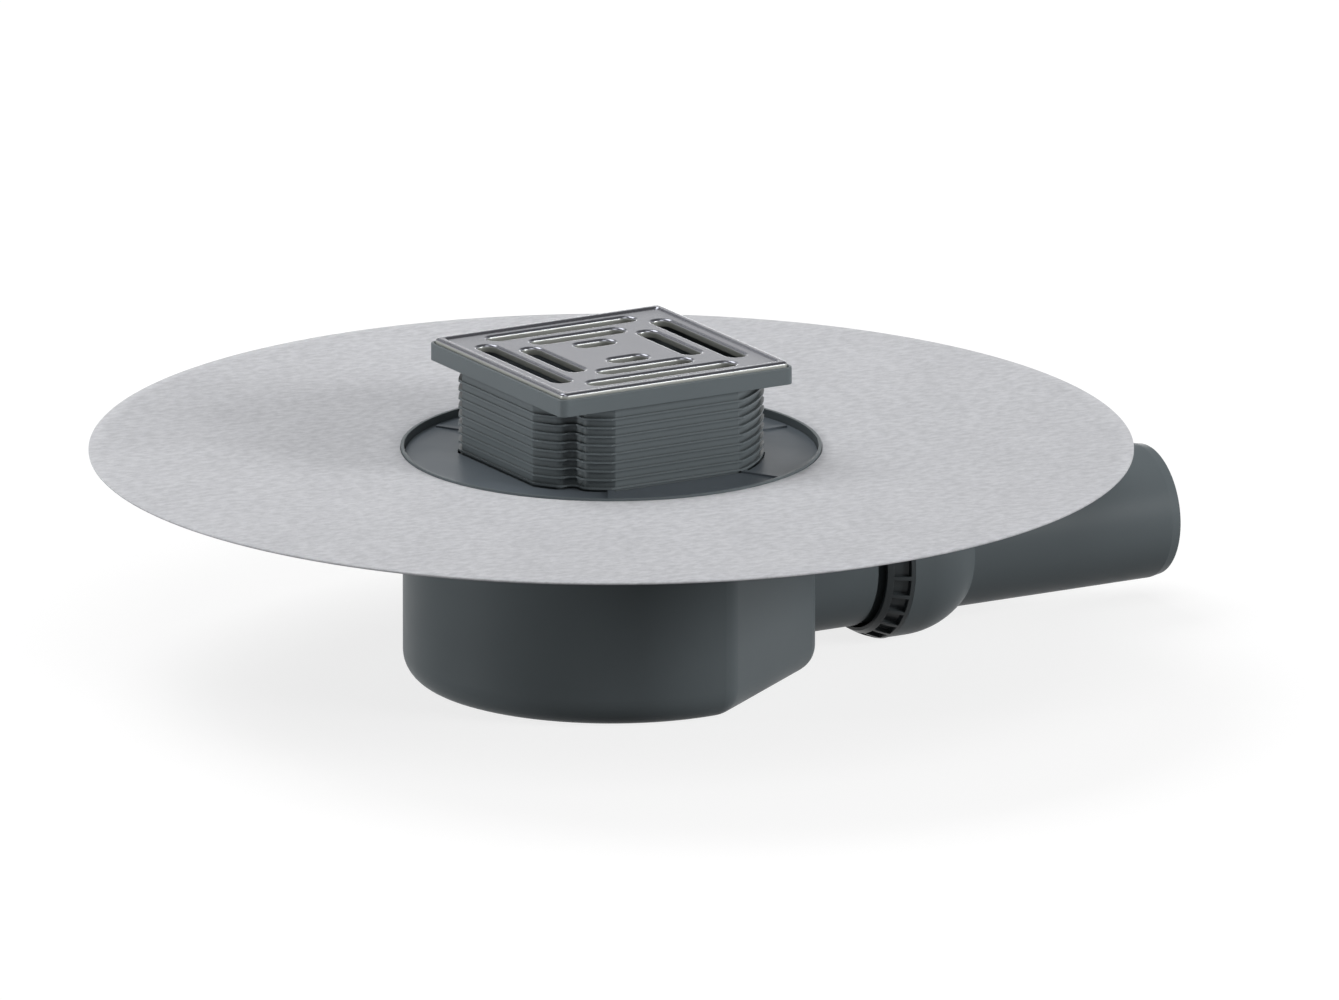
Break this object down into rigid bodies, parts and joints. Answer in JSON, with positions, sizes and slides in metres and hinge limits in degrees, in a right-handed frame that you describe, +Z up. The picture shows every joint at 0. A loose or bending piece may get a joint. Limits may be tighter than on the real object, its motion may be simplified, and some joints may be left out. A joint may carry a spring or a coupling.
{
  "type": "floor drain",
  "caption": "Low floor drain with a flat sealing collar, a square height-adjustable riser with a slotted steel grate, a lift-out trap and a swivelling side outlet.",
  "frame": {"origin": "centre of the housing's flat underside", "axes": "+Z up along the riser's axis, +X along the outlet"},
  "size_m": [0.418, 0.3816, 0.1233],
  "materials": {
    "housing_plastic": "satin moulded polypropylene, dark slate grey",
    "recess_plastic": "satin moulded plastic, slate grey",
    "riser_plastic": "satin moulded plastic, slate grey",
    "ring_plastic": "satin moulded plastic, near black",
    "inner_plastic": "satin moulded plastic, dark grey",
    "seal_rubber": "matt black rubber",
    "fleece": "light grey non-woven fleece, mottled",
    "steel": "pressed stainless steel, fine satin"
  },
  "bodies": {
    "housing": {"drain_body": "housing_plastic", "sealing_collar": "fleece", "funnel_bowl": "inner_plastic", "bowl_seal": "seal_rubber", "trap_funnel": "inner_plastic", "trap_seal": "seal_rubber", "trap_cup": "inner_plastic"},
    "guide": {"guide_ring": "recess_plastic", "riser_seal": "seal_rubber"},
    "riser": {"riser_frame": "riser_plastic", "grate": "steel"},
    "ball_ring": {"ball_seal": "seal_rubber"},
    "outlet": {"outlet_pipe": "housing_plastic", "retaining_ring": "ring_plastic"}
  },
  "joints": [
    {"name": "riser_turn", "type": "hinge", "parent": "housing", "child": "guide", "pos_m": [0, 0, 0.0843], "axis": [0, 0, 1], "continuous": true},
    {"name": "riser_height", "type": "slide", "parent": "guide", "child": "riser", "axis": [0, 0, 1], "range_m": [-0.009, 0.008]},
    {"name": "outlet_turn", "type": "hinge", "parent": "housing", "child": "ball_ring", "pos_m": [0.11873, 0, 0.0325], "axis": [1, 0, 0], "continuous": true},
    {"name": "outlet_tilt", "type": "hinge", "parent": "ball_ring", "child": "outlet", "pos_m": [0.11873, 0, 0.0325], "axis": [0, 1, 0], "range_deg": [-5, 5]}
  ]
}
